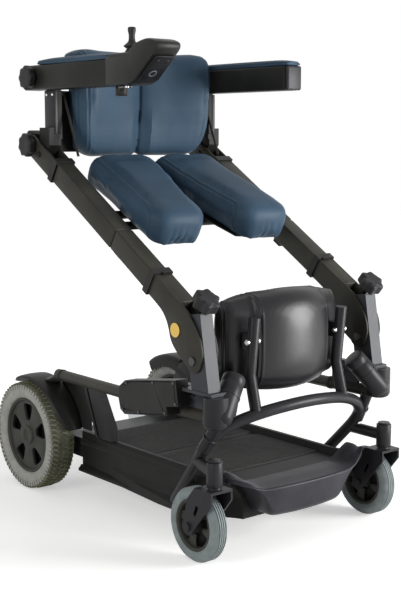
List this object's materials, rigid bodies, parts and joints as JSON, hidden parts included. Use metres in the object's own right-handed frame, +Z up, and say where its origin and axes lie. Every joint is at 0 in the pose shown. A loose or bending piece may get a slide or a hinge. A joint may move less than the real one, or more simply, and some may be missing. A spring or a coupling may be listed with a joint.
{
  "type": "standing wheelchair",
  "caption": "Powered standing wheelchair in its raised position: low drive deck, knee pad, sloping lift arms, split thigh seat, padded back, sliding armrests and a joystick.",
  "frame": {"origin": "on the ground under the middle of the whole length and width", "axes": "+Z up, -Y the way the chair drives forward, -X the user's right hand"},
  "size_m": [0.644, 0.999, 1.243],
  "materials": {
    "charcoal_paint": "matt powder coat",
    "satin_black_paint": "satin powder coat",
    "black_plastic": "fine grain moulding",
    "black_rubber": "matt",
    "grey_tyre": "matt non-marking rubber",
    "blue_vinyl": "smooth upholstery vinyl",
    "black_vinyl": "satin skin",
    "brass": "satin",
    "zinc_steel": "zinc plated",
    "black_steel": "black oxide",
    "aluminium": "cast",
    "battery_plastic": "moulded case",
    "grey_plastic": "smooth"
  },
  "bodies": {
    "base": {"deck_tray": "black_plastic", "deck_cover": "black_plastic", "deck_mats": "black_rubber", "nose_bumper": "black_plastic", "axle_housing": "black_plastic", "battery_packs": "battery_plastic", "gearmotors": "aluminium", "fender_right": "black_plastic", "fender_left": "black_plastic", "side_rails": "charcoal_paint", "rear_uprights": "charcoal_paint", "control_box": "black_plastic", "control_box_cover": "black_plastic", "box_screws": "black_steel", "frame_bolts": "zinc_steel", "lift_post_right": "charcoal_paint", "lift_post_left": "charcoal_paint", "lift_gearmotors": "satin_black_paint", "front_hoop": "satin_black_paint", "knee_pad_uprights": "satin_black_paint", "knee_pad": "black_vinyl", "caster_brackets": "satin_black_paint", "lift_pivot_pins": "zinc_steel"},
    "drive_wheel_right": {"drive_rim_right": "black_plastic", "drive_tyre_right": "grey_tyre"},
    "drive_wheel_left": {"drive_rim_left": "black_plastic", "drive_tyre_left": "grey_tyre"},
    "caster_swivel_right": {"caster_fork_right": "satin_black_paint"},
    "caster_swivel_left": {"caster_fork_left": "satin_black_paint"},
    "caster_wheel_right": {"caster_rim_right": "black_plastic", "caster_tyre_right": "grey_tyre"},
    "caster_wheel_left": {"caster_rim_left": "black_plastic", "caster_tyre_left": "grey_tyre"},
    "lift_arms": {"lift_arm_right": "charcoal_paint", "lift_arm_left": "charcoal_paint", "arm_collars": "black_plastic", "brass_caps": "brass", "rubber_stops": "black_rubber"},
    "seat_carriage": {"upper_arm_right": "charcoal_paint", "upper_arm_left": "charcoal_paint", "rear_collars": "black_plastic", "seat_frame": "satin_black_paint", "seat_cushion_right": "blue_vinyl", "seat_cushion_left": "blue_vinyl"},
    "backrest": {"back_frame": "charcoal_paint", "back_cushion": "blue_vinyl"},
    "armrest_right": {"armrest_beam_right": "charcoal_paint", "armrest_pad_right": "blue_vinyl", "joystick_pod": "black_plastic"},
    "armrest_left": {"armrest_beam_left": "charcoal_paint", "armrest_pad_left": "blue_vinyl", "armrest_end_cap": "grey_plastic"},
    "stick_gimbal": {"joystick_gimbal": "black_plastic"},
    "stick": {"joystick": "black_rubber"},
    "post_star_right": {"post_knob_right": "black_plastic"},
    "post_star_left": {"post_knob_left": "black_plastic"},
    "arm_clamp_right": {"arm_knob_right": "black_plastic"},
    "arm_clamp_left": {"arm_knob_left": "black_plastic"},
    "armrest_clamp_right": {"armrest_knob_right": "black_plastic"},
    "armrest_clamp_left": {"armrest_knob_left": "black_plastic"}
  },
  "joints": [
    {"name": "drive_wheel_right_spin", "type": "hinge", "parent": "base", "child": "drive_wheel_right", "pos_m": [-0.262, 0.3475, 0.152], "axis": [1, 0, 0], "continuous": true},
    {"name": "caster_right_swivel", "type": "hinge", "parent": "base", "child": "caster_swivel_right", "pos_m": [-0.284, -0.4685, 0.221], "axis": [0, 0, 1], "continuous": true},
    {"name": "caster_right_roll", "type": "hinge", "parent": "caster_swivel_right", "child": "caster_wheel_right", "pos_m": [-0.284, -0.4105, 0.089], "axis": [1, 0, 0], "continuous": true},
    {"name": "drive_wheel_left_spin", "type": "hinge", "parent": "base", "child": "drive_wheel_left", "pos_m": [0.262, 0.3475, 0.152], "axis": [1, 0, 0], "continuous": true},
    {"name": "caster_left_swivel", "type": "hinge", "parent": "base", "child": "caster_swivel_left", "pos_m": [0.284, -0.4685, 0.221], "axis": [0, 0, 1], "continuous": true},
    {"name": "caster_left_roll", "type": "hinge", "parent": "caster_swivel_left", "child": "caster_wheel_left", "pos_m": [0.284, -0.4105, 0.089], "axis": [1, 0, 0], "continuous": true},
    {"name": "lift", "type": "hinge", "parent": "base", "child": "lift_arms", "pos_m": [0, -0.406, 0.4745], "axis": [-1, 0, 0], "range_deg": [0, 36]},
    {"name": "seat_depth", "type": "slide", "parent": "lift_arms", "child": "seat_carriage", "axis": [0, 0.8545, 0.5195], "range_m": [0, 0.05]},
    {"name": "back_level", "type": "hinge", "parent": "seat_carriage", "child": "backrest", "pos_m": [0, 0.24145, 0.93604], "axis": [1, 0, 0], "range_deg": [0, 36]},
    {"name": "armrest_right_slide", "type": "slide", "parent": "backrest", "child": "armrest_right", "axis": [0, -1, 0], "range_m": [0, 0.04]},
    {"name": "armrest_left_slide", "type": "slide", "parent": "backrest", "child": "armrest_left", "axis": [0, -1, 0], "range_m": [0, 0.04]},
    {"name": "stick_fore_aft", "type": "hinge", "parent": "armrest_right", "child": "stick_gimbal", "pos_m": [-0.26, -0.1285, 1.173], "axis": [1, 0, 0], "range_deg": [-15, 15], "stiffness_Nm_per_rad": 0.4},
    {"name": "stick_side", "type": "hinge", "parent": "stick_gimbal", "child": "stick", "pos_m": [-0.26, -0.1285, 1.173], "axis": [0, 1, 0], "range_deg": [-15, 15], "stiffness_Nm_per_rad": 0.4},
    {"name": "post_knob_right_turn", "type": "hinge", "parent": "base", "child": "post_star_right", "pos_m": [-0.272, -0.42346, 0.6115], "axis": [0, -0.6428, 0.766], "continuous": true},
    {"name": "arm_knob_right_turn", "type": "hinge", "parent": "seat_carriage", "child": "arm_clamp_right", "pos_m": [-0.31, 0.28161, 0.96045], "axis": [1, 0, 0], "continuous": true},
    {"name": "armrest_knob_right_turn", "type": "hinge", "parent": "armrest_right", "child": "armrest_clamp_right", "pos_m": [-0.298, 0.2915, 1.1375], "axis": [1, 0, 0], "continuous": true},
    {"name": "post_knob_left_turn", "type": "hinge", "parent": "base", "child": "post_star_left", "pos_m": [0.272, -0.42346, 0.6115], "axis": [0, -0.6428, 0.766], "continuous": true},
    {"name": "arm_knob_left_turn", "type": "hinge", "parent": "seat_carriage", "child": "arm_clamp_left", "pos_m": [0.31, 0.28161, 0.96045], "axis": [1, 0, 0], "continuous": true},
    {"name": "armrest_knob_left_turn", "type": "hinge", "parent": "armrest_left", "child": "armrest_clamp_left", "pos_m": [0.298, 0.2915, 1.1375], "axis": [1, 0, 0], "continuous": true}
  ],
  "couplings": [
    {"joint": "back_level", "follows": "lift", "ratio": 1}
  ]
}
